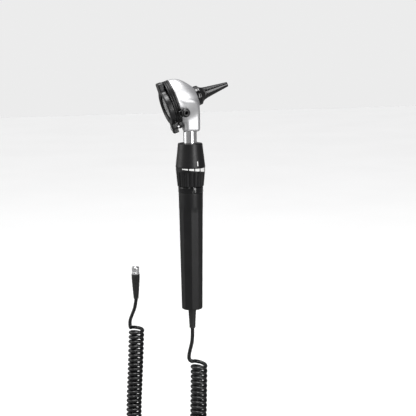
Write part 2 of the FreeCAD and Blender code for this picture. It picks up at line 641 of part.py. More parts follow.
def speculum_end():
    place = optical_axis()
    as_node(turned("speculum_mount", [
        ("mount_bore", "chamber_end"), ("mount_base_radius", "chamber_end"),
        ("mount_base_radius", "holder_tip"), ("mount_tip_radius", "mount_tip"),
        ("mount_bore", "mount_tip")], place), "speculum_mount")
    as_node(turned("light_ring", tube_outline("mount_bore", "mount_tip_radius", "mount_tip",
                                              "light_ring_tip"), place), "light_ring")
    as_node(turned("holder_ring", [
        ("holder_bore", "funnel_front"), ("holder_radius", "funnel_front"),
        ("holder_radius", "holder_tip - 0.5"), ("holder_radius - 0.5", "holder_tip"),
        ("holder_bore", "holder_tip")], place), "holder_ring")
    as_node(turned("speculum", [
        ("speculum_flange", "speculum_back"), ("speculum_flange", "flange_tip"),
        ("speculum_flange - 0.8", "flange_tip + 0.6"),
        ("cone_base_radius + 0.8", "cone_back - 1.2"), ("cone_base_radius", "cone_back"),
        ("tip_radius", "speculum_tip"), ("tip_radius - tip_wall", "speculum_tip"),
        ("cone_base_radius - cone_wall", "cone_back"),
        ("cone_base_radius", "cone_back - 1.8"), ("speculum_flange - 1.6", "speculum_back")],
        place), "speculum")


def oval_plate(name, low, high):
    """A plate with the head's oval outline, in the optical axis's frame."""
    outline = doc.addObject("Part::Ellipse", name + "_outline")
    set_sizes(outline, MajorRadius="oval_half_height", MinorRadius="oval_half_width")
    set_place(outline, ("oval_rise", "0", low))
    plate = doc.addObject("Part::Extrusion", name)
    plate.Base = outline
    plate.DirMode = "Normal"
    plate.Solid = True
    plate.setExpression("LengthFwd", bind(f"{high} - ({low})"))
    return plate


def rear_ring():
    place = optical_axis()
    plate = oval_plate("ring_plate", "ring_back", "funnel_back")
    boss = cylinder("ring_lug", "lug_radius", "pivot_front - lug_back",
                    ("pivot_drop", "0", "lug_back"))
    web = box("ring_web", ("6", "2 * lug_radius", "pivot_front - lug_back"),
              ("pivot_drop", "-lug_radius", "lug_back"))
    arm = box("ring_arm", ("arm_high - arm_low", "arm_outer - arm_inner",
                           "arm_front - arm_back"), ("arm_low", "arm_inner", "arm_back"))
    root = box("ring_arm_root", ("arm_high - arm_low", "arm_outer - arm_root", "arm_root_depth"),
               ("arm_low", "arm_root", "arm_back"))
    solid = fuse("ring_solid", plate, boss, web, arm, root)
    view = cylinder("ring_view", "ring_bore", "20", ("0", "0", "ring_back - 5"))
    pivot = cylinder("ring_pivot", "pivot_radius + 0.01", "20",
                     ("pivot_drop", "0", "lug_back - 5"))
    groove = turned("seal_groove", tube_outline("seal_inner - fit_gap", "seal_outer + fit_gap",
                                                "ring_back - 1", "ring_back + seal_depth"))
    tap = cylinder("nipple_tap", "nipple_bore", "8",
                   ("nipple_rise", "arm_inner - 3", "nipple_forward"), Vector(0, 1, 0))
    through = ring_screw_rods("ring_screw_hole", Placement(), "screw_pass", "ring_back - 1",
                              "funnel_back + 1")
    recess = ring_screw_rods("ring_screw_recess", Placement(), "screw_recess", "ring_back - 1",
                             "screw_seat")
    ring = cut("rear_ring", solid, view, pivot, groove, tap, *through, *recess)
    ring.Placement = place
    as_node(ring, "rear_ring")
    as_node(turned("window_seal", tube_outline(
        "seal_inner", "seal_outer", "ring_back - seal_proud", "ring_back + seal_depth"),
        place), "window_seal")
    shafts = ring_screw_rods("ring_screw_shaft", place, "screw_radius", "screw_seat", "screw_tip")
    heads = ring_screw_rods("ring_screw_head", place, "screw_head", "screw_head_back",
                            "screw_seat")
    pairs = [fuse(f"ring_screw_{index}", *pair)
             for index, pair in enumerate(zip(shafts, heads))]
    as_node(group("ring_screws", *pairs), "ring_screws")
    as_node(turned("pivot_pin", [
        ("0", "pivot_head_back"), ("pivot_head", "pivot_head_back"),
        ("pivot_head", "window_back - 0.1"), ("pivot_radius", "window_back - 0.1"),
        ("pivot_radius", "pivot_front"), ("0", "pivot_front")],
        place * Placement(Vector(value("pivot_drop"), 0, 0), Rotation())), "pivot_pin")
    as_node(turned("pivot_bushing", tube_outline(
        "pivot_bore", "bushing_radius", "window_front + 0.05", "lug_back"),
        place * Placement(Vector(value("pivot_drop"), 0, 0), Rotation())), "pivot_bushing")


def nipple():
    """The port that a rubber bulb's hose slips over."""
    place = optical_axis()
    foot = place.multVec(Vector(value("nipple_rise"), value("arm_outer"),
                                value("nipple_forward")))
    turn = math.radians(value("nipple_turn"))
    heading = Vector(math.sin(turn), -math.cos(turn), 0)
    stand = Placement(foot, Rotation(Vector(0, 0, 1), heading))
    spout = turned("nipple_spout", [
        ("nipple_bore", "-2"), ("nipple_radius - nipple_step", "-2"),
        ("nipple_radius - nipple_step", "nipple_flange"), ("nipple_radius", "nipple_flange"),
        ("nipple_radius", "nipple_length - 1"), ("nipple_radius - 1", "nipple_length"),
        ("nipple_bore", "nipple_length")], stand)
    side = box("nipple_side", ("30", "12", "30"))
    side.Placement = place * Placement(Vector(value("nipple_rise") - 15,
                                              value("arm_outer") - 12,
                                              value("nipple_forward") - 15), Rotation())
    as_node(cut("nipple", spout, side), "nipple")


def window():
    place = optical_axis()
    depth = "window_front - window_back"
    disc = cylinder("window_disc", "window_radius", depth,
                    ("window_drop", "0", "window_back"))
    tab = box("window_tab", ("tab_top - tab_low", "2 * tab_half_width", depth),
              ("tab_low", "-tab_half_width", "window_back"))
    top = value("tab_top")
    soft_tab = rounded("window_tab_soft", tab, "tab_round",
                       lambda edge: edge.BoundBox.XMin > top - 0.01
                       and edge.BoundBox.ZLength > 1)
    boss = cylinder("window_lug", "window_lug_radius", depth,
                    ("pivot_drop", "0", "window_back"))
    foot = box("window_foot", ("foot_high - foot_low", "2 * foot_half_width", depth),
               ("foot_low", "-foot_half_width", "window_back"))
    web = box("window_web", ("8", "2 * window_lug_radius", depth),
              ("pivot_drop", "-window_lug_radius", "window_back"))
    solid = fuse("window_solid", disc, soft_tab, boss, foot, web)
    view = cylinder("window_view", "view_radius", "10", ("0", "0", "window_back - 1"))
    seat = cylinder("window_seat", "lens_seat", "10", ("0", "0", "lens_shelf"))
    pivot = cylinder("window_pivot", "pivot_bore", "10", ("pivot_drop", "0",
                                                          "window_back - 1"))
    pits = tab_pin_rods("tab_pit", "stud_radius + fit_gap")
    frame = cut("window_frame", solid, view, seat, pivot, *pits)
    frame.Placement = place
    as_node(frame, "window_frame")
    pins = group("tab_pins", *tab_pin_rods("tab_pin", "stud_radius"))
    pins.Placement = place
    as_node(pins, "tab_pins")

    disc = cylinder("lens_disc", "lens_radius", "lens_front - lens_back",
                    ("0", "0", "lens_back"))
    ball = doc.addObject("Part::Sphere", "lens_ball")
    set_sizes(ball, Radius="lens_curve")
    set_place(ball, ("0", "0", "lens_back + lens_curve"))
    lens = doc.addObject("Part::Common", "lens")
    lens.Base = disc
    lens.Tool = ball
    lens.Placement = place
    as_node(lens, "lens")
    as_node(turned("lens_retainer", tube_outline("view_radius", "lens_seat - 0.03",
                                                 "lens_front + 0.02", "retainer_front"),
                   place), "lens_retainer")


def tab_pin_rods(name, radius):
    """Rods at the two small studs on the thumb tab's back face."""
    return [cylinder(f"{name}_{index}", radius, "stud_depth",
                     (f"tab_top - stud_drop - {index} * stud_pitch", "0", "window_back"))
            for index in range(int(value("stud_count")))]


# ---- build, test and write ---------------------------------------------------------------

def build():
    handle_shell()
    seat_ring()
    stem_and_nut()
    dimmer()
    collar()
    contact()
    conductors()
    cord()
    neck_and_lamp()
    housing()
    speculum_end()
    rear_ring()
    nipple()
    window()
    doc.recompute()


def faults():
    """Every object that failed, and every piece whose shape can't be written."""
    found = [f"{thing.Name}: {thing.State}" for thing in doc.Objects
             if "Invalid" in thing.State or "Error" in thing.State]
    for piece in nodes:
        if piece.Shape.isNull():
            found.append(f"{piece.Label}: empty")
        elif not piece.Shape.isValid():
            found.append(f"{piece.Label}: not valid")
    return found


build()
problems = faults()
if problems:
    raise SystemExit("\n".join(problems))
os.makedirs("parts", exist_ok=True)
for piece in nodes:
    piece.Shape.exportStep(f"parts/{piece.Label}.step")
print(f"{len(nodes)} pieces written")
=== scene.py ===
import json
import math

import bmesh
import bpy
import numpy as np
from mathutils import Matrix, Vector


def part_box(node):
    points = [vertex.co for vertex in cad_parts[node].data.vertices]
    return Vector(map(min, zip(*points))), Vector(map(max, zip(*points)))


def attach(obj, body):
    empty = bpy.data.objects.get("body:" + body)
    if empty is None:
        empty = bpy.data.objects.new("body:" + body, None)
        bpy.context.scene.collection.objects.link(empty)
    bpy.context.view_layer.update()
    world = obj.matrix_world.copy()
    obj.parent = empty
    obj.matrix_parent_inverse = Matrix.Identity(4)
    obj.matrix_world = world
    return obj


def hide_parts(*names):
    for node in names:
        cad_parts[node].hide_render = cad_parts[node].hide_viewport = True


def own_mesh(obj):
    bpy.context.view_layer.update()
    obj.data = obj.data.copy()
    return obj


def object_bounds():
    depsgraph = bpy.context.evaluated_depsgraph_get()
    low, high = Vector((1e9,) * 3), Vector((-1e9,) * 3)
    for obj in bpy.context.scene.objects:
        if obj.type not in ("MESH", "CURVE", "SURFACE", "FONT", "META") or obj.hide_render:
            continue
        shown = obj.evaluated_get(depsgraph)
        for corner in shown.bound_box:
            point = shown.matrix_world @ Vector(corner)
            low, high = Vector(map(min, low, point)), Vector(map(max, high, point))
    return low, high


# A corded otoscope: detailed shells, grips, rings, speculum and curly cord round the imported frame.
#
# The cord's points are in metres. Outlines and fields are in millimetres, and the helpers that
# make a mesh turn them into metres.

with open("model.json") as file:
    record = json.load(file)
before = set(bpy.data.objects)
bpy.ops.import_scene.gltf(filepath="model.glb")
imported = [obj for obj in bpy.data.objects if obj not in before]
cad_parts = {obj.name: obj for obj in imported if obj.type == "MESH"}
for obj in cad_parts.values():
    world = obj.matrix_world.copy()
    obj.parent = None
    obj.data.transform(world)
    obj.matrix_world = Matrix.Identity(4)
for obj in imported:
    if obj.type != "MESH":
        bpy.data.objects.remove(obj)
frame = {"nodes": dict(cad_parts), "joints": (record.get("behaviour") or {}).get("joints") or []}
cad_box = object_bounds()

MM = 0.001
joints = {joint["name"]: joint for joint in frame["joints"]}


def box_mm(node):
    """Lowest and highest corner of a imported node, in millimetres."""
    low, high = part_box(node)
    return low / MM, high / MM


# ---- where things are ------------------------------------------------------------------

# The optical axis: local Z runs to the speculum, local X up from it, local Y to the port's side.
# The window's pivot lies this far below its origin and this far behind it.
PIVOT_DROP = 20.8
PIVOT_BEHIND = 30.6
AHEAD = Vector(joints["window_swing"]["axis"])
RISING = Vector((-AHEAD.z, 0, AHEAD.x))
PIVOT = Vector(joints["window_swing"]["pos_m"]) / MM
OPTIC_ORIGIN = PIVOT + RISING * PIVOT_DROP + AHEAD * PIVOT_BEHIND
OPTIC = Matrix.Translation(OPTIC_ORIGIN) @ Matrix((RISING, (0, -1, 0), AHEAD)).transposed().to_4x4()

SHELL_LOW = box_mm("handle_shell")[0].z
SHELL_HIGH = box_mm("handle_shell")[1].z
SHELL_TOP_RADIUS = box_mm("handle_shell")[1].x
SEAT_LOW, SEAT_HIGH = -3.0, box_mm("seat_ring")[1].z
SEAT_RADIUS = box_mm("seat_ring")[1].x
DIMMER_LOW, DIMMER_HIGH = (corner.z for corner in box_mm("dimmer_ring"))
COLLAR_LOW, COLLAR_HIGH = (corner.z for corner in box_mm("collar"))
COLLAR_RADIUS = box_mm("collar")[1].x
NECK_LOW, NECK_HIGH = (corner.z for corner in box_mm("neck"))

# Direction towards the camera's right, which the cord's first turns also lean to.
VIEW_TURN = math.radians(15)
VIEW_RIGHT = Vector((math.cos(VIEW_TURN), -math.sin(VIEW_TURN), 0))
VIEW_BACK = Vector((math.sin(VIEW_TURN), math.cos(VIEW_TURN), 0))


# ---- mesh helpers ----------------------------------------------------------------------

def add_piece(name, points, faces, body, material, node=None, sharp=32):
    """A mesh from points in millimetres, shaded smooth but for its sharp edges."""
    mesh = bpy.data.meshes.new(name)
    mesh.from_pydata([tuple(MM * c for c in point) for point in points], [], faces)
    tidy = bmesh.new()
    tidy.from_mesh(mesh)
    bmesh.ops.remove_doubles(tidy, verts=tidy.verts, dist=1e-7)
    bmesh.ops.recalc_face_normals(tidy, faces=tidy.faces)
    tidy.to_mesh(mesh)
    tidy.free()
    mesh.shade_smooth()
    mesh.set_sharp_from_angle(angle=math.radians(sharp))
    piece = bpy.data.objects.new(name, mesh)
    bpy.context.scene.collection.objects.link(piece)
    mesh.materials.append(material)
    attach(piece, body)
    if node:
        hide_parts(node)
    return piece


def softened(outline, size, steps=3):
    """A closed outline with each corner off the axis rounded, by its own third number if given."""
    corners = [Vector(corner[:2]) for corner in outline]
    sizes = [corner[2] if len(corner) > 2 else size for corner in outline]
    soft = []
    for index, (corner, size) in enumerate(zip(corners, sizes)):
        back = corners[index - 1] - corner
        onward = corners[(index + 1) % len(corners)] - corner
        if corner.x < 1e-6:
            soft.append(corner)
            continue
        enter = corner + back.normalized() * min(size, 0.45 * back.length)
        leave = corner + onward.normalized() * min(size, 0.45 * onward.length)
        for step in range(steps + 1):
            share = step / steps
            soft.append(enter.lerp(corner, share).lerp(corner.lerp(leave, share), share))
    return soft


def divided(outline, gap):
    """The outline with points added so that none are further apart than gap."""
    points = []
    for index, start in enumerate(outline):
        end = outline[(index + 1) % len(outline)]
        count = max(1, math.ceil((end - start).length / gap))
        points += [start.lerp(end, step / count) for step in range(count)]
    return points


def turned(outline, steps=96, place=None, shape=None):
    """Points and faces of an outline turned about Z; shape(radius, height, angle) moves it."""
    place = place or Matrix.Identity(4)
    points = []
    for step in range(steps):
        angle = math.tau * step / steps
        for radius, height in outline:
            reach, rise = shape(radius, height, angle) if shape else (radius, height)
            local = Vector((reach * math.cos(angle), reach * math.sin(angle), rise))
            points.append(place @ local)
    count = len(outline)
    faces = []
    for step in range(steps):
        here, there = step * count, (step + 1) % steps * count
        for index in range(count):
            after = (index + 1) % count
            faces.append((here + index, there + index, there + after, here + after))
    return points, faces


def lathe(name, outline, body, material, node=None, soft=0.3, gap=50, steps=96, place=None,
          shape=None):
    """A turned piece with softened corners."""
    ring = divided(softened(outline, soft), gap)
    points, faces = turned(ring, steps, place, shape)
    return add_piece(name, points, faces, body, material, node or name)


def step_up(low, high, value):
    """0 below low, 1 above high, and a smooth rise between them."""
    share = min(1.0, max(0.0, (value - low) / (high - low)))
    return share * share * (3 - 2 * share)


def nearest_turn(angle, first, count):
    """How far an angle is from the nearest of count evenly spaced directions, in radians."""
    pitch = math.tau / count
    return abs((angle - first + pitch / 2) % pitch - pitch / 2)


# ---- fields: below zero inside, smooth joins, closed into a mesh -------------------------

def join(first, second, soft):
    """Union of two fields with a fillet."""
    near = np.maximum(soft - np.abs(first - second), 0) / soft
    return np.minimum(first, second) - near * near * soft / 4


def common(first, second, soft):
    """Intersection of two fields with a rounded edge."""
    return -join(-first, -second, soft)


def carve(body, tool, soft):
    """The first field without the second, with a rounded rim."""
    return common(body, -tool, soft)


def slab(along, low, high):
    return np.maximum(low - along, along - high)


def rod(across, up, radius):
    return np.hypot(across, up) - radius


def bar(across, up, half_width, half_height, corner):
    """A bar with a rounded rectangular section."""
    side = np.abs(across) - half_width + corner
    top = np.abs(up) - half_height + corner
    outer = np.hypot(np.maximum(side, 0), np.maximum(top, 0))
    return outer + np.minimum(np.maximum(side, top), 0) - corner


def oval(up, across, half_height, half_width):
    return (np.hypot(up / half_height, across / half_width) - 1) * half_width


def surface_of(field, low, high, cell):
    """Points and quads where a field is zero, by surface nets, drawn onto the surface."""
    axes = [np.arange(a, b + cell, cell) for a, b in zip(low, high)]
    grid = np.stack(np.meshgrid(*axes, indexing="ij"), axis=-1)
    values = field(grid.reshape(-1, 3)).reshape(grid.shape[:3])
    inside = values < 0
    corners = [(i, j, k) for i in (0, 1) for j in (0, 1) for k in (0, 1)]
    size = np.array(values.shape) - 1

    def shifted(array, corner):
        i, j, k = corner
        return array[i:size[0] + i, j:size[1] + j, k:size[2] + k]

    counts = sum(shifted(inside, corner).astype(int) for corner in corners)
    mixed = (counts > 0) & (counts < 8)
    total = np.zeros((int(mixed.sum()), 3))
    crossings = np.zeros(len(total))
    for first in corners:
        for second in corners:
            if sum(abs(a - b) for a, b in zip(first, second)) == 1 and first < second:
                start, end = shifted(values, first)[mixed], shifted(values, second)[mixed]
                cross = (start < 0) != (end < 0)
                share = start[cross] / (start[cross] - end[cross])
                here = np.array(first) + share[:, None] * (np.array(second) - first)
                total[cross] += here
                crossings[cross] += 1
    points = (np.argwhere(mixed) + total / crossings[:, None]) * cell + np.array(low)
    numbers = -np.ones(mixed.shape, int)
    numbers[mixed] = np.arange(len(points))
    quads = []
    for axis in range(3):
        one, two = (axis + 1) % 3, (axis + 2) % 3
        ahead = np.roll(inside, -1, axis)
        edge = inside != ahead
        cells = np.argwhere(edge)
        keep = (cells[:, one] > 0) & (cells[:, two] > 0) & (cells < size).all(axis=1)
        cells = cells[keep]
        around = []
        for a, b in ((0, 0), (1, 0), (1, 1), (0, 1)):
            spot = cells.copy()
            spot[:, one] -= a
            spot[:, two] -= b
            around.append(numbers[tuple(spot.T)])
        quad = np.stack(around, axis=1)
        flip = inside[tuple(cells.T)]
        quad[flip] = quad[flip][:, ::-1]
        quads.append(quad)
    nudge = cell * 0.05
    for _ in range(3):
        here = field(points)
        slope = np.stack([field(points + step) - field(points - step)
                          for step in np.eye(3) * nudge], axis=1) / (2 * nudge)
        steep = np.maximum((slope * slope).sum(axis=1), 0.05)
        move = np.clip(here / steep, -cell / 2, cell / 2)[:, None] * slope
        points = points - move
    return points, np.concatenate(quads).tolist()


def sculpt(name, field, low, high, cell, body, material, node, place=OPTIC):
    """A piece closed round a field of points in millimetres, in the optical frame or the row's."""
    points, quads = surface_of(lambda spots: field(*spots.T), low, high, cell)
    placed = [place @ Vector(point) for point in points] if place else points
    return add_piece(name, placed, quads, body, material, node or name, sharp=60)


# ---- materials -------------------------------------------------------------------------

def link(tree, source, target):
    tree.links.new(source, target)


def grain(tree, scale, detail=2.0, stretch=(1, 1, 1)):
    """Noise in the object's own metres; scale is in features per metre."""
    place = tree.nodes.new("ShaderNodeTexCoord")
    turn = tree.nodes.new("ShaderNodeMapping")
    turn.inputs["Scale"].default_value = stretch
    noise = tree.nodes.new("ShaderNodeTexNoise")
    noise.inputs["Scale"].default_value = scale
    noise.inputs["Detail"].default_value = detail
    link(tree, place.outputs["Object"], turn.inputs["Vector"])
    link(tree, turn.outputs["Vector"], noise.inputs["Vector"])
    return noise.outputs["Fac"]


def spread_over(tree, source, low, high, source_low=0.3, source_high=0.7):
    """A texture's value moved to another range."""
    change = tree.nodes.new("ShaderNodeMapRange")
    change.inputs["From Min"].default_value = source_low
    change.inputs["From Max"].default_value = source_high
    change.inputs["To Min"].default_value = low
    change.inputs["To Max"].default_value = high
    link(tree, source, change.inputs["Value"])
    return change.outputs["Result"]


def mixed(tree, source, first, second):
    """Two colours mixed by a texture."""
    mix = tree.nodes.new("ShaderNodeMix")
    mix.data_type = "RGBA"
    link(tree, source, mix.inputs[0])
    for socket, colour in ((mix.inputs[6], first), (mix.inputs[7], second)):
        if isinstance(colour, tuple):
            socket.default_value = (*colour, 1)
        else:
            link(tree, colour, socket)
    return mix.outputs[2]


def roughened(tree, shader, height, depth):
    """Bump of the given depth in metres."""
    bump = tree.nodes.new("ShaderNodeBump")
    bump.inputs["Distance"].default_value = depth
    link(tree, height, bump.inputs["Height"])
    link(tree, bump.outputs["Normal"], shader.inputs["Normal"])


def edge_wear(tree, colour, worn):
    """The colour, turning to worn along edges that hands rub."""
    shape = tree.nodes.new("ShaderNodeNewGeometry")
    wear = spread_over(tree, shape.outputs["Pointiness"], 0, 0.6, 0.53, 0.62)
    return mixed(tree, wear, colour, worn)


def make_material(name, first, second, rough, metallic=0.0, patch=60, bump_scale=2500,
                  bump_depth=0.00002, stretch=(1, 1, 1), worn=None, **sockets):
    """A finish: two tones in soft patches, uneven roughness and a fine surface grain."""
    material = bpy.data.materials.new(name + "_finish")
    material.use_nodes = True
    tree = material.node_tree
    shader = tree.nodes["Principled BSDF"]
    shader.inputs["Metallic"].default_value = metallic
    for socket, setting in sockets.items():
        shader.inputs[socket.replace("_", " ")].default_value = setting
    patches = grain(tree, patch, 3.0)
    tone = mixed(tree, spread_over(tree, patches, 0, 1), first, second)
    if worn:
        tone = edge_wear(tree, tone, worn)
    link(tree, tone, shader.inputs["Base Color"])
    fine = grain(tree, bump_scale, 2.0, stretch)
    link(tree, spread_over(tree, fine, *rough), shader.inputs["Roughness"])
    roughened(tree, shader, fine, bump_depth)
    return material


TURNED = (1, 1, 40)

MATTE = make_material("matte_black", (0.0055, 0.0055, 0.006), (0.0085, 0.0085, 0.009),
                      (0.40, 0.52), bump_scale=2600, bump_depth=0.000025,
                      worn=(0.022, 0.022, 0.023), Specular_IOR_Level=0.3)
COLLAR_BLACK = make_material("collar_black", (0.005, 0.005, 0.0055), (0.008, 0.008, 0.0085),
                             (0.34, 0.46), bump_scale=60, bump_depth=0.00003,
                             stretch=TURNED, worn=(0.03, 0.03, 0.031),
                             Specular_IOR_Level=0.4)
HEAD_BLACK = make_material("head_black", (0.004, 0.004, 0.0045), (0.007, 0.007, 0.0075),
                           (0.28, 0.40), bump_scale=2200, bump_depth=0.000012,
                           worn=(0.02, 0.02, 0.021))
GLOSS = make_material("gloss_black", (0.003, 0.003, 0.0035), (0.005, 0.005, 0.0055),
                      (0.07, 0.13), bump_scale=700, bump_depth=0.000004)
SPECULUM_BLACK = make_material("speculum_black", (0.004, 0.004, 0.0045), (0.007, 0.007, 0.0075),
                               (0.14, 0.24), bump_scale=900, bump_depth=0.000006)
CORD = make_material("cord_black", (0.004, 0.004, 0.0045), (0.007, 0.007, 0.0075),
                     (0.22, 0.34), patch=200, bump_scale=1500, bump_depth=0.00002)
SATIN = make_material("satin_chrome", (0.64, 0.64, 0.65), (0.71, 0.71, 0.72), (0.46, 0.56),
                      metallic=1.0, bump_scale=2600, bump_depth=0.000012, stretch=(1, 1, 6))
BRIGHT = make_material("bright_chrome", (0.80, 0.80, 0.81), (0.86, 0.86, 0.87), (0.12, 0.20),
                       metallic=1.0, bump_scale=90, bump_depth=0.000006, stretch=TURNED)
STEEL = make_material("steel", (0.50, 0.50, 0.51), (0.60, 0.60, 0.61), (0.22, 0.34),
                      metallic=1.0, bump_scale=120, bump_depth=0.000006, stretch=TURNED)
BRASS = make_material("brass", (0.70, 0.50, 0.22), (0.80, 0.60, 0.28), (0.20, 0.32),
                      metallic=1.0, bump_scale=120, bump_depth=0.000006, stretch=TURNED)
ALUMINIUM = make_material("aluminium", (0.70, 0.71, 0.72), (0.78, 0.79, 0.80), (0.28, 0.38),
                          metallic=1.0, bump_scale=120, bump_depth=0.000008, stretch=TURNED)
GLASS = make_material("clear_glass", (0.97, 0.98, 0.98), (0.99, 0.99, 0.99), (0.01, 0.04),
                      patch=150, bump_scale=300, bump_depth=0.0000005,
                      Transmission_Weight=1.0, IOR=1.52)
INK = make_material("white_ink", (0.82, 0.82, 0.81), (0.88, 0.88, 0.87), (0.45, 0.60),
                    patch=400, bump_scale=4000, bump_depth=0.000008)
NYLON = make_material("white_nylon", (0.72, 0.71, 0.67), (0.80, 0.79, 0.75), (0.40, 0.52),
                      bump_scale=1800, bump_depth=0.00001, Subsurface_Weight=0.1)
RUBBER = make_material("seal_rubber", (0.010, 0.010, 0.010), (0.018, 0.018, 0.018),
                       (0.60, 0.75), bump_scale=3000, bump_depth=0.00002)
RED = make_material("red_wire", (0.42, 0.02, 0.02), (0.52, 0.04, 0.03), (0.35, 0.50),
                    bump_scale=1500, bump_depth=0.00002)
BLUE = make_material("blue_wire", (0.02, 0.06, 0.38), (0.03, 0.09, 0.46), (0.35, 0.50),
                     bump_scale=1500, bump_depth=0.00002)

CARRIED_OVER = {
    "stop_pin": STEEL, "stem": ALUMINIUM, "lock_nut": BRASS, "resistor_track": GLOSS,
    "thrust_washer": NYLON, "pin_insulator": NYLON, "pin_conductor": RED,
    "track_conductor": BLUE, "cord_stub": CORD, "cord_clamp": NYLON, "clamp_screws": STEEL,
    "wiper_carrier": NYLON, "wiper": BRASS, "contact_pin": BRASS, "lamp_contact": BRASS,
    "lamp_body": BRIGHT, "lamp_bulb": GLASS, "guide_ferrule": BRASS, "light_guide": GLASS,
    "speculum_mount": BRIGHT, "light_ring": GLASS, "window_seal": RUBBER,
    "ring_screws": STEEL, "pivot_bushing": BRIGHT, "tab_pins": BRIGHT, "lens_retainer": HEAD_BLACK,
}


def finish_packed_nodes():
    for node, material in CARRIED_OVER.items():
        mesh = frame["nodes"][node].data
        mesh.materials.clear()
        mesh.materials.append(material)


# ---- handle ----------------------------------------------------------------------------

FLAT_COUNT = 9
FLAT_FIRST = math.radians(-84)
FLAT_TOP = -18.9
FLAT_DEPTH = 0.56
SHELL_WALL = 1.95
SHELL_BASE_RADIUS = 10.4
CORD_HOLE = 3.3


def soft_least(first, second, soft):
    near = max(soft - abs(first - second), 0) / soft
    return min(first, second) - near * near * soft / 4


def handle_shell():
    floor = SHELL_LOW + 2.5
    outline = [(CORD_HOLE, SHELL_LOW), (SHELL_BASE_RADIUS, SHELL_LOW, 1.2),
               (SHELL_TOP_RADIUS, SHELL_HIGH, 0.25), (SHELL_TOP_RADIUS - SHELL_WALL, SHELL_HIGH),
               (SHELL_BASE_RADIUS - SHELL_WALL, floor), (CORD_HOLE, floor)]

    def flats(radius, height, angle):
        share = (height - SHELL_LOW) / (SHELL_HIGH - SHELL_LOW)
        middle = SHELL_BASE_RADIUS + share * (SHELL_TOP_RADIUS - SHELL_BASE_RADIUS) - FLAT_DEPTH
        middle += 2 * step_up(FLAT_TOP - 0.5, FLAT_TOP, height)
        away = nearest_turn(angle, FLAT_FIRST, FLAT_COUNT)
        return soft_least(radius, middle / math.cos(away), 0.12), height

    lathe("handle_shell_body", outline, "handle", MATTE, "handle_shell", soft=0.15, gap=2.5,
          steps=360, shape=flats)


def seat_ring():
    grub_height, bore, spigot_radius, spigot_low = -0.9, 8.55, 9.72, -11

    def field(x, y, z):
        ring = slab(z, SEAT_LOW, SEAT_HIGH)
        outer = common(rod(x, y, SEAT_RADIUS), ring, 0.9)
        spigot = common(rod(x, y, spigot_radius), slab(z, spigot_low, 0), 0.3)
        body = carve(np.minimum(outer, spigot), rod(x, y, bore), 0.25)
        hole = np.maximum(rod(x, z - grub_height, 1.22), y + 8)
        return carve(body, hole, 0.3)

    low, high = (-13, -13, -11.6), (13, 13, 3.6)
    sculpt("seat_ring_body", field, low, high, 0.3, "handle", GLOSS, "seat_ring", place=None)

    def screw(x, y, z):
        body = common(rod(x, z - grub_height, 1.18), slab(y, -11.85, -8.6), 0.2)
        angle = np.arctan2(z - grub_height, x)
        around = (angle + math.tau) % (math.tau / 6) - math.tau / 12
        socket = np.hypot(x, z - grub_height) * np.cos(around) - 0.55
        return carve(body, np.maximum(socket, y + 10.8), 0.08)

    sculpt("grub_screw_body", screw, (-1.6, -12.2, -2.5), (1.6, -8.2, 0.7), 0.1, "handle",
           GLOSS, "grub_screw", place=None)


# ---- dimmer ring and collar --------------------------------------------------------------

FLUTE_COUNT = 17
FLUTE_FIRST = math.radians(16)
FLUTE_TOP = 18.3
FLUTE_DEPTH = 1.0
FLUTE_WIDTH = 0.95
DIMMER_LOW_RADIUS = 12.85
DIMMER_TOP_RADIUS = 14.2
STOP_ARC = (math.radians(-164), math.radians(-38))
STOP_RAMP = 0.02


def dimmer_ring():
    cavity, bore, floor = 11.2, 8.56, 6.0
    outline = [(bore, DIMMER_LOW), (9.05, DIMMER_LOW), (9.1, DIMMER_LOW), (11.3, DIMMER_LOW),
               (11.35, DIMMER_LOW), (DIMMER_LOW_RADIUS, DIMMER_LOW, 0.5),
               (DIMMER_TOP_RADIUS, FLUTE_TOP), (DIMMER_TOP_RADIUS, DIMMER_HIGH, 0.3),
               (cavity, DIMMER_HIGH), (cavity, floor), (bore, floor)]

    def grips(radius, height, angle):
        if radius > 11.8:
            away = nearest_turn(angle, FLUTE_FIRST, FLUTE_COUNT) * radius
            fade = 1 - step_up(FLUTE_TOP - 1.5, FLUTE_TOP - 0.2, height)
            radius -= FLUTE_DEPTH * fade * math.exp(-(away / FLUTE_WIDTH) ** 2)
        turn = (angle + math.pi) % math.tau - math.pi
        if 9.08 < radius < 11.32 and height < DIMMER_LOW + 0.5:
            inside = step_up(STOP_ARC[0], STOP_ARC[0] + STOP_RAMP, turn)
            inside *= 1 - step_up(STOP_ARC[1] - STOP_RAMP, STOP_ARC[1], turn)
            height += 2.6 * inside
        return radius, height

    lathe("dimmer_ring_body", outline, "dimmer", MATTE, "dimmer_ring", soft=0.2, gap=0.7,
          steps=FLUTE_COUNT * 18, shape=grips)


def curved_patch(first, last, low, high, radius, thickness, steps):
    """A thin raised print on a turned surface; low, high and radius may be functions."""
    points, faces = [], []
    for step in range(steps + 1):
        share = step / steps
        angle = first + share * (last - first)
        direction = Vector((math.cos(angle), math.sin(angle), 0))
        for height in (low(share), high(share)):
            for raised in (0, thickness):
                points.append(direction * (radius(height) + raised) + Vector((0, 0, height)))
    for step in range(steps):
        here, there = 4 * step, 4 * step + 4
        for a, b in ((0, 1), (1, 3), (3, 2), (2, 0)):
            faces.append((here + a, here + b, there + b, there + a))
    end = 4 * steps
    faces += [(0, 1, 3, 2), (end, end + 1, end + 3, end + 2)]
    return points, faces


MARK_SPANS = [(-138, -114), (-109, -89.5), (-85, -66), (-61, -33)]
MARK_PROUD = 0.05


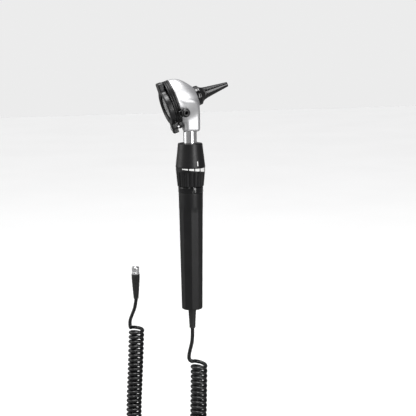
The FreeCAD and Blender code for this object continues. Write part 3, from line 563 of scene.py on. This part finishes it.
def scale_marks():
    """Four printed blocks that grow round the ring, to show more light."""
    points, faces = [], []
    first_angle, last_angle = MARK_SPANS[0][0], MARK_SPANS[-1][1]

    def depth(degrees):
        return 1.0 + 2.9 * ((degrees - first_angle) / (last_angle - first_angle)) ** 1.2

    for first, last in MARK_SPANS:
        made, quads = curved_patch(
            math.radians(first), math.radians(last),
            lambda share: DIMMER_HIGH - 0.25 - depth(first + share * (last - first)),
            lambda share: DIMMER_HIGH - 0.25, lambda height: DIMMER_TOP_RADIUS, MARK_PROUD, 14)
        faces += [tuple(len(points) + corner for corner in quad) for quad in quads]
        points += made
    add_piece("scale_print", points, faces, "dimmer", INK, "scale_marks")


COLLAR_TOP_RADIUS = 11.85
SOCKET_FLOOR = 28.2
SOCKET_RADIUS = 6.58
SLOT_REACH = 8.0
SLOT_HALF_WIDTH = 1.6
LUG_FIRST = math.radians(30)


def collar_radius(height):
    share = (height - COLLAR_LOW) / (COLLAR_HIGH - COLLAR_LOW)
    return COLLAR_RADIUS + share * (COLLAR_TOP_RADIUS - COLLAR_RADIUS)


def collar():
    stem_hole = 8.53
    outline = [(stem_hole, COLLAR_LOW), (COLLAR_RADIUS, COLLAR_LOW, 0.35),
               (COLLAR_TOP_RADIUS, COLLAR_HIGH, 0.5), (SOCKET_RADIUS, COLLAR_HIGH, 0.4),
               (SOCKET_RADIUS, SOCKET_FLOOR + 0.1), (SOCKET_RADIUS, SOCKET_FLOOR),
               (stem_hole, SOCKET_FLOOR)]

    def socket(radius, height, angle):
        if radius < SLOT_REACH and height > SOCKET_FLOOR + 0.05:
            away = nearest_turn(angle, LUG_FIRST, 3) * SLOT_REACH
            radius += (SLOT_REACH - radius) * (1 - step_up(SLOT_HALF_WIDTH,
                                                           SLOT_HALF_WIDTH + 0.25, away))
        return radius, height

    lathe("collar_body", outline, "handle", COLLAR_BLACK, "collar", soft=0.15, gap=1.5,
          steps=240, shape=socket)
    mark_turn, half_turn = math.radians(-74), math.radians(2.1)
    mark_low, mark_high = 23.9, 28.4
    points, faces = curved_patch(mark_turn - half_turn, mark_turn + half_turn,
                                 lambda share: mark_low, lambda share: mark_high,
                                 collar_radius, MARK_PROUD, 4)
    add_piece("index_line", points, faces, "handle", INK, "index_mark")


# ---- contact and its spring ----------------------------------------------------------------

def contact_spring():
    """A wound wire that the contact pin presses on, made at one fixed length."""
    low, high = (corner.z for corner in box_mm("contact_spring"))
    turns, ring_points, wire, middle = 8, 20, 0.22, 1.75
    points, faces = [], []
    sides = 8
    count = turns * ring_points
    for step in range(count + 1):
        share = step / count
        angle = math.tau * turns * share
        flat = min(1.0, 8 * min(share, 1 - share))
        climb = low + wire + (high - low - 2 * wire) * share
        out = Vector((math.cos(angle), math.sin(angle), 0))
        for side in range(sides):
            turn = math.tau * side / sides
            ring = out * (wire * math.cos(turn)) + Vector((0, 0, wire * math.sin(turn)))
            points.append(out * middle + Vector((0, 0, climb)) + ring * (0.85 + 0.15 * flat))
    for step in range(count):
        for side in range(sides):
            after = (side + 1) % sides
            here, there = step * sides, (step + 1) * sides
            faces.append((here + side, here + after, there + after, there + side))
    faces.append(tuple(range(sides)))
    faces.append(tuple(count * sides + side for side in range(sides)))
    spring = add_piece("contact_spring_wire", points, faces, "handle", STEEL, "contact_spring")
    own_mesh(spring)


# ---- head --------------------------------------------------------------------------------

NECK_RADIUS = 6.5
NECK_BORE = 4.9
LUG_REACH = 7.6


def neck():
    outline = [(NECK_BORE, NECK_LOW), (NECK_RADIUS, NECK_LOW, 0.5), (NECK_RADIUS, 30.95),
               (NECK_RADIUS, 31.05), (NECK_RADIUS, 32.95), (NECK_RADIUS, 33.05),
               (NECK_RADIUS, NECK_HIGH), (NECK_BORE, NECK_HIGH)]

    def lugs(radius, height, angle):
        if radius > NECK_RADIUS - 0.01 and 31 < height < 33:
            away = nearest_turn(angle, LUG_FIRST, 3) * NECK_RADIUS
            radius += (LUG_REACH - NECK_RADIUS) * (1 - step_up(1.15, 1.3, away))
        return radius, height

    lathe("neck_tube", outline, "head", BRIGHT, "neck", soft=0.05, gap=6, steps=192, shape=lugs)


# Funnel of the housing: distances along the optical axis with the oval's half height, its half
# width and how far it is centred above the axis. Each is drawn through as one smooth curve.
FUNNEL_ALONG = (-22, -15, -9, -4.5, -1)
FUNNEL_CURVES = [np.polyfit(FUNNEL_ALONG, sizes, 4) for sizes in (
    (21.2, 19.95, 17.05, 13.25, 9.6), (15.6, 15.2, 14.0, 12.0, 9.6), (3.2, 2.95, 2.05, 0.95, 0))]
FUNNEL_BACK, FUNNEL_FRONT = -22, -1
BLOCK_LOW, BLOCK_HIGH = 56.3, 86
SCREW_PLACES = ((18.2, 4.2), (18.2, -4.2))


def housing_field(up, across, along):
    forward = OPTIC_ORIGIN.x + RISING.x * up + AHEAD.x * along
    height = OPTIC_ORIGIN.z + RISING.z * up + AHEAD.z * along
    within = np.clip(along, FUNNEL_BACK, FUNNEL_FRONT)
    half_height, half_width, rise = (np.polyval(curve, within) for curve in FUNNEL_CURVES)
    funnel = common(oval(up - rise, across, half_height, half_width),
                    slab(along, FUNNEL_BACK, FUNNEL_FRONT), 0.7)
    flare = np.maximum(height - 68, 0) / 16
    lean = np.maximum(height - 72, 0) / 12
    back = -6.9 - 3.6 * flare ** 1.6
    front = 9.2 - 3.7 * lean ** 2
    side = 7.9 + 5.1 * flare ** 2
    block = bar(forward - (back + front) / 2, across, (front - back) / 2, side, 4.6)
    block = common(block, slab(height, BLOCK_LOW, BLOCK_HIGH), 3.4)
    body = join(funnel, block, 4.5)
    taper = 13.3 + (np.clip(along, -23, -3) + 23) / 20 * (4.9 - 13.3)
    chamber = np.maximum(rod(up, across, taper), along + 3)
    body = carve(body, chamber, 0.5)
    body = carve(body, np.maximum(rod(up, across, 5.0), -along - 5), 0.3)
    body = carve(body, np.maximum(rod(forward, across, NECK_RADIUS + 0.05), height - 66), 0.3)
    for rise, side in SCREW_PLACES:
        screw = np.maximum(rod(up - rise, across - side, 0.9), along + 15)
        body = carve(body, screw, 0.2)
    return body


def speculum_end():
    lathe("holder_ring_body", [(5.05, -1), (9.6, -1, 0.15), (9.6, 1.6, 0.5), (5.05, 1.6)],
          "head", GLOSS, "holder_ring", place=OPTIC, steps=128)
    tip = 32.7
    outline = [(9.4, 1.7, 0.2), (9.4, 3.0, 0.25), (8.3, 3.7, 0.5), (7.0, 5.0, 0.8),
               (6.05, 7.0, 1.0), (5.3, 10.4, 1.5), (2.25, tip, 0.25), (1.75, tip, 0.1),
               (4.6, 10.4), (5.0, 6.0), (5.75, 4.2), (7.8, 1.7, 0.2)]
    ribs = 30

    def ribbed(radius, height, angle):
        if radius > 5.1 and height > 3.4:
            away = nearest_turn(angle, 0, ribs) / (math.tau / ribs) * 2
            fade = 1 - step_up(7.2, 9.0, height)
            rise = step_up(3.4, 4.2, height)
            radius -= 0.22 * fade * rise * away ** 2
        return radius, height

    lathe("speculum_cone", outline, "speculum", SPECULUM_BLACK, "speculum", gap=0.9,
          steps=240, place=OPTIC, shape=ribbed)


RING_BACK = -27.6
GROOVES = (-26.0, -24.0)
PORT_DROP, PORT_BEHIND, ARM_SIDE = 8.6, 19.9, 16.6


def rear_ring_field(up, across, along):
    rim = oval(up - 3.2, across, 21.0, 15.6)
    for groove in GROOVES:
        rim = rim + 0.55 * np.exp(-((along - groove) / 0.42) ** 2)
    body = common(rim, slab(along, RING_BACK, FUNNEL_BACK), 0.5)
    lug = join(rod(up + PIVOT_DROP, across, 3.0), bar(up + 17.8, across, 3.0, 3.0, 0.5), 1)
    body = join(body, common(lug, slab(along, -26, -23), 0.5), 0.8)
    arm = common(bar(up + PORT_DROP, across - 15.55, 2.8, 1.05, 0.6), slab(along, -25, -15), 0.8)
    root = common(bar(up + PORT_DROP, across - 13.8, 2.8, 2.8, 0.6), slab(along, -25, -22.05), 0.6)
    body = join(body, join(arm, root, 1.2), 0.6)
    body = carve(body, rod(up, across, 13.3), 0.4)
    seat = np.maximum(np.abs(np.hypot(up, across) - 14.45) - 0.47, along + 26.6)
    body = carve(body, seat, 0.15)
    body = carve(body, rod(up + PIVOT_DROP, across, 1.51), 0.2)
    for rise, side in SCREW_PLACES:
        body = carve(body, rod(up - rise, across - side, 1.05), 0.1)
        body = carve(body, np.maximum(rod(up - rise, across - side, 2.0), along + 26), 0.25)
    return body


WINDOW_BACK, WINDOW_FRONT = -33.4, -27.9
TAB_TOP = 24.2


def window_field(up, across, along):
    plan = rod(up + 0.5, across, 16.4)
    tab = bar(up - (TAB_TOP + 8) / 2, across, (TAB_TOP - 8) / 2, 6.2, 2.2)
    plan = join(plan, tab, 3.0)
    plan = join(plan, bar(up + 17.0, across, 3.8, 3.6, 1.0), 1.5)
    plan = join(plan, rod(up + PIVOT_DROP, across, 3.6), 1.0)
    plan = join(plan, bar(up + 24.7, across, 1.7, 3.0, 0.8), 1.2)
    body = common(plan, slab(along, WINDOW_BACK, WINDOW_FRONT), 1.3)
    bevel = 12.9 + 0.9 * np.maximum(-31.9 - along, 0)
    body = carve(body, rod(up, across, bevel), 0.35)
    body = carve(body, np.maximum(rod(up, across, 13.6), -31.2 - along), 0.2)
    body = carve(body, rod(up + PIVOT_DROP, across, 1.55), 0.25)
    for index in range(2):
        pit = np.maximum(rod(up - (TAB_TOP - 2.6 - 2.2 * index), across, 0.52), along + 31.8)
        body = carve(body, pit, 0.15)
    return body


def nipple():
    """The port that a rubber bulb's hose slips over."""
    turn = math.radians(10)
    foot = OPTIC @ Vector((-PORT_DROP, ARM_SIDE, -PORT_BEHIND))
    heading = Vector((math.sin(turn), -math.cos(turn), 0))
    stand = Matrix.Translation(foot) @ heading.to_track_quat("Z", "Y").to_matrix().to_4x4()
    outline = [(1.2, -0.4), (2.7, -0.4), (2.7, 1.9, 0.2), (4.3, 2.2, 0.5), (4.3, 3.9, 0.9),
               (3.2, 5.2, 0.5), (2.3, 5.4, 0.3), (1.2, 4.9, 0.2)]
    lathe("port_spout", outline, "head", HEAD_BLACK, "nipple", gap=0.5, steps=96, place=stand)


def lens():
    curve, edge, back, front = 45.0, 13.5, -32.9, -29.4
    bulge = []
    rings = 14
    for index in range(rings + 1):
        radius = edge * index / rings
        bulge.append((radius, back + curve - math.sqrt(curve ** 2 - radius ** 2), 0.01))
    outline = bulge + [(edge, front, 0.25), (0, front)]
    lathe("lens_glass", outline, "window", GLASS, "lens", soft=0.05, gap=2, steps=128, place=OPTIC)


def pivot_pin():
    """Shouldered pin that the window swings on, with a slot in its head."""
    def field(up, across, along):
        side = up + PIVOT_DROP
        head = common(rod(side, across, 2.3), slab(along, -34.2, -33.5), 0.35)
        shaft = common(rod(side, across, 1.5), slab(along, -33.9, -23), 0.2)
        slot = np.maximum(np.abs(across) - 0.25, along + 33.85)
        return carve(np.minimum(head, shaft), slot, 0.08)
    low, high = (-23.5, -2.7, -34.6), (-18.1, 2.7, -22.6)
    sculpt("pivot_pin_body", field, low, high, 0.13, "head", STEEL, "pivot_pin")


def head():
    neck()
    sculpt("housing_shell", housing_field, (-36, -16.4, -25), (26, 16.4, 3), 0.42, "head",
           SATIN, "housing")
    sculpt("rear_ring_body", rear_ring_field, (-24.5, -16.8, -28.2), (25, 17.4, -14.4), 0.33,
           "head", HEAD_BLACK, "rear_ring")
    sculpt("window_frame_body", window_field, (-27, -17.4, -34), (25, 17.4, -27.3), 0.33,
           "window", HEAD_BLACK, "window_frame")
    speculum_end()
    lens()
    pivot_pin()
    nipple()


# ---- cord and its fittings ---------------------------------------------------------------

# Points in metres, from the handle down to the first turn, along the middle of the coil, and
# from its last turn up to the supply's outlet.
LEAD_ROUTE = [(0, 0, -0.140), (0, 0, -0.1480), (-0.0007, 0.0002, -0.1560),
              (-0.0027, 0.0008, -0.1635), (-0.0038, 0.0012, -0.1693), (-0.0034, 0.0018, -0.1736)]
COIL_ROUTE = [(0.0059, -0.0016, -0.1765), (0.0054, -0.0014, -0.218), (0.0034, -0.0004, -0.264),
              (0.0010, 0.0032, -0.304), (-0.0070, 0.0212, -0.337), (-0.0206, 0.0524, -0.352),
              (-0.0342, 0.0834, -0.3385), (-0.0416, 0.1008, -0.306), (-0.0426, 0.1038, -0.2625),
              (-0.0394, 0.1033, -0.2135), (-0.0372, 0.1031, -0.1661)]
TAIL_ROUTE = [(-0.0440, 0.1049, -0.1626), (-0.0441, 0.1049, -0.1576), (-0.0412, 0.1042, -0.1501),
              (-0.0380, 0.1033, -0.1421), (-0.037, 0.103, -0.1330)]
CORD_DIAMETER = 0.0038
COIL_TURNS = 80
POINTS_PER_TURN = 12
COIL_RADIUS = 0.0067
TURN_LEAN = math.tan(math.radians(8))


def spline_curve(name, points):
    """One open spline of order 3 that starts and ends at its first and last points."""
    curve = bpy.data.curves.new(name, "CURVE")
    curve.dimensions = "3D"
    spline = curve.splines.new("NURBS")
    spline.points.add(len(points) - 1)
    for spot, point in zip(spline.points, points):
        spot.co = (*point, 1)
    spline.order_u = 3
    spline.use_endpoint_u = True
    return curve


def route_line(points):
    """Closely spaced points of the smooth line that a route makes."""
    curve = spline_curve("route", points)
    curve.resolution_u = 24
    holder = bpy.data.objects.new("route", curve)
    mesh = bpy.data.meshes.new_from_object(holder)
    line = np.array([tuple(spot.co) for spot in mesh.vertices])
    bpy.data.objects.remove(holder)
    bpy.data.meshes.remove(mesh)
    bpy.data.curves.remove(curve)
    return line


def coil_turns():
    """Points of the helix round the coil's middle line, from the near end to the far end."""
    line = route_line(COIL_ROUTE)
    along = np.concatenate([[0], np.cumsum(np.linalg.norm(np.diff(line, axis=0), axis=1))])
    span = Vector(COIL_ROUTE[-1]) - Vector(COIL_ROUTE[0])
    plane = Vector((span.y, -span.x, 0)).normalized()
    offset = plane.angle(VIEW_RIGHT)
    first, last = math.pi + offset, math.pi - offset + math.tau * COIL_TURNS
    reach = COIL_RADIUS / math.cos(math.pi / POINTS_PER_TURN)
    count = COIL_TURNS * POINTS_PER_TURN
    points = []
    for step in range(count + 1):
        share = step / count
        place = [np.interp([share * along[-1] - 0.001, share * along[-1],
                            share * along[-1] + 0.001], along, line[:, axis])
                 for axis in range(3)]
        middle = Vector([axis[1] for axis in place])
        heading = Vector([axis[2] - axis[0] for axis in place]).normalized()
        out = (plane - heading * plane.dot(heading)).normalized()
        side = heading.cross(out)
        angle = first + share * (last - first)
        lean = TURN_LEAN * (1 - share) * VIEW_RIGHT.dot(
            out * math.cos(angle) + side * math.sin(angle))
        turn = out * math.cos(angle) + side * math.sin(angle) + heading * lean
        points.append(middle + turn * reach)
    return points


def cord():
    points = [Vector(point) for point in LEAD_ROUTE] + coil_turns()
    points += [Vector(point) for point in TAIL_ROUTE]
    curve = spline_curve("curly_cord", points)
    curve.resolution_u = 4
    curve.bevel_depth = CORD_DIAMETER / 2
    curve.bevel_resolution = 4
    curve.use_fill_caps = True
    curve.materials.append(CORD)
    piece = bpy.data.objects.new("curly_cord", curve)
    bpy.context.scene.collection.objects.link(piece)
    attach(piece, "handle")
    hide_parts("cord_lead", "cord_coil", "cord_tail")
    return piece


def relief(name, node, top, tip, top_radius, tip_radius, place=None):
    """A tapered sleeve with rings moulded into it, so that it bends more freely at its tip."""
    rings, groove = 5, 0.14
    outline = [(1.9, tip, 0.1), (tip_radius, tip, 0.5), (tip_radius + 0.05, tip + 1.4)]
    for ring in range(rings):
        share = (ring + 0.9) / (rings + 0.6)
        middle = tip + share * (top - tip) * 0.85
        radius = tip_radius + (top_radius - tip_radius) * share
        outline += [(radius, middle - 0.6), (radius - groove, middle - 0.3, 0.2),
                    (radius - groove, middle + 0.3, 0.2), (radius + 0.05, middle + 0.6)]
    outline += [(top_radius, top - 2.2, 0.5), (top_radius, top, 0.2), (1.9, top)]
    return lathe(name, outline, "handle", RUBBER, node, soft=0.25, place=place)


def fittings():
    relief("strain_relief_sleeve", "strain_relief", top=SHELL_LOW, tip=-140, top_radius=3.8,
           tip_radius=2.95)
    low, high = box_mm("outlet_ferrule")
    place = Matrix.Translation(((low.x + high.x) / 2, (low.y + high.y) / 2, 0))
    far = relief("outlet_relief_sleeve", "far_relief", top=low.z, tip=box_mm("far_relief")[0].z,
                 top_radius=4.45, tip_radius=2.7, place=place)
    ferrule = lathe("outlet_ferrule_tube", [
        (2.2, low.z, 0.1), (4.0, low.z, 0.3), (4.0, low.z + 2.2), (3.7, low.z + 2.4),
        (3.7, low.z + 3.0), (4.0, low.z + 3.2), (4.0, high.z, 0.5), (2.2, high.z, 0.3)],
        "handle", BRIGHT, "outlet_ferrule", soft=0.15, place=place)
    return far, ferrule


# ---- floor, light and camera ---------------------------------------------------------------

FLOOR_GAP = 0.006
SKY_LEFT, SKY_RIGHT = (0.50, 0.50, 0.49), (0.15, 0.15, 0.155)
BACKDROP = (0.84, 0.84, 0.84)
FLOOR_SEEN, FLOOR_REFLECTED = (0.88, 0.88, 0.88), (0.24, 0.24, 0.24)
CAMERA_LENS = 86.9
CAMERA_DOWN = math.radians(9.5)
CAMERA_ROLL = math.radians(0.57)
CAMERA_DISTANCE = 0.984
LOOKED_AT = Vector((0, 0, -0.0190)) + VIEW_RIGHT * 0.0167


def floor():
    mesh = bpy.data.meshes.new("floor")
    reach = 6.0
    height = cad_box[0].z - FLOOR_GAP
    corners = [(-reach, -reach), (reach, -reach), (reach, reach), (-reach, reach)]
    mesh.from_pydata([(x, y, height) for x, y in corners], [], [(0, 1, 2, 3)])
    material = make_material("floor_white", FLOOR_SEEN, (0.90, 0.90, 0.90), (0.6, 0.7), patch=3,
                             bump_scale=400, bump_depth=0.00002)
    tree = material.node_tree
    shader = tree.nodes["Principled BSDF"]
    dim = tree.nodes.new("ShaderNodeBsdfDiffuse")
    dim.inputs["Color"].default_value = (*FLOOR_REFLECTED, 1)
    rays = tree.nodes.new("ShaderNodeLightPath")
    either = tree.nodes.new("ShaderNodeMixShader")
    link(tree, rays.outputs["Is Camera Ray"], either.inputs[0])
    link(tree, dim.outputs[0], either.inputs[1])
    link(tree, shader.outputs[0], either.inputs[2])
    link(tree, either.outputs[0], tree.nodes["Material Output"].inputs["Surface"])
    mesh.materials.append(material)
    ground = bpy.data.objects.new("floor", mesh)
    bpy.context.scene.collection.objects.link(ground)


def area_light(name, place, target, size, power):
    lamp = bpy.data.lights.new(name, "AREA")
    lamp.shape = "RECTANGLE"
    lamp.size, lamp.size_y = size
    lamp.energy = power
    holder = bpy.data.objects.new(name, lamp)
    holder.location = place
    holder.rotation_euler = (Vector(target) - Vector(place)).to_track_quat("-Z", "Y").to_euler()
    bpy.context.scene.collection.objects.link(holder)


def sky():
    """Surroundings that are light on the left and dim on the right, before a pale backdrop."""
    world = bpy.data.worlds.new("studio")
    bpy.context.scene.world = world
    world.use_nodes = True
    tree = world.node_tree
    around = tree.nodes["Background"]
    around.inputs["Strength"].default_value = 1.0
    place = tree.nodes.new("ShaderNodeTexCoord")
    leftward = tree.nodes.new("ShaderNodeVectorMath")
    leftward.operation = "DOT_PRODUCT"
    leftward.inputs[1].default_value = -VIEW_RIGHT
    link(tree, place.outputs["Generated"], leftward.inputs[0])
    side = spread_over(tree, leftward.outputs["Value"], 0, 1, -0.1, 0.9)
    link(tree, mixed(tree, side, SKY_RIGHT, SKY_LEFT), around.inputs["Color"])
    backdrop = tree.nodes.new("ShaderNodeBackground")
    backdrop.inputs["Color"].default_value = (*BACKDROP, 1)
    rays = tree.nodes.new("ShaderNodeLightPath")
    either = tree.nodes.new("ShaderNodeMixShader")
    link(tree, rays.outputs["Is Camera Ray"], either.inputs[0])
    link(tree, around.outputs[0], either.inputs[1])
    link(tree, backdrop.outputs[0], either.inputs[2])
    link(tree, either.outputs[0], tree.nodes["World Output"].inputs["Surface"])


def sun(direction, strength, spread):
    lamp = bpy.data.lights.new("sun", "SUN")
    lamp.energy = strength
    lamp.angle = math.radians(spread)
    holder = bpy.data.objects.new("sun", lamp)
    holder.rotation_euler = Vector(direction).to_track_quat("-Z", "Y").to_euler()
    bpy.context.scene.collection.objects.link(holder)


def camera():
    forward = (VIEW_BACK * math.cos(CAMERA_DOWN) - Vector((0, 0, math.sin(CAMERA_DOWN))))
    rise = VIEW_RIGHT.cross(forward)
    side = VIEW_RIGHT * math.cos(CAMERA_ROLL) - rise * math.sin(CAMERA_ROLL)
    top = rise * math.cos(CAMERA_ROLL) + VIEW_RIGHT * math.sin(CAMERA_ROLL)
    turn = Matrix((side, top, -forward)).transposed().to_4x4()
    lens_data = bpy.data.cameras.new("camera")
    lens_data.lens = CAMERA_LENS
    lens_data.sensor_width = 36
    eye = bpy.data.objects.new("camera", lens_data)
    eye.matrix_world = Matrix.Translation(LOOKED_AT - forward * CAMERA_DISTANCE) @ turn
    bpy.context.scene.collection.objects.link(eye)
    bpy.context.scene.camera = eye


def stage():
    floor()
    sky()
    camera()
    area_light("key", (0.58, -1.25, 0.25), (0, 0, 0.02), (0.5, 1.15), 13)
    area_light("left", (-1.3, 0.35, 0.35), (0, 0, 0), (0.9, 1.1), 6)
    area_light("top", (-0.2, 0.2, 1.5), (0, 0.1, 0), (1.4, 1.4), 12)
    sun((0.15, 0.3, -1), 2.7, 30)
    bpy.context.scene.view_settings.view_transform = "Standard"


# ---- build ---------------------------------------------------------------------------------

finish_packed_nodes()
handle_shell()
seat_ring()
dimmer_ring()
scale_marks()
collar()
contact_spring()
head()
cord_piece = cord()
far_relief, ferrule = fittings()
stage()
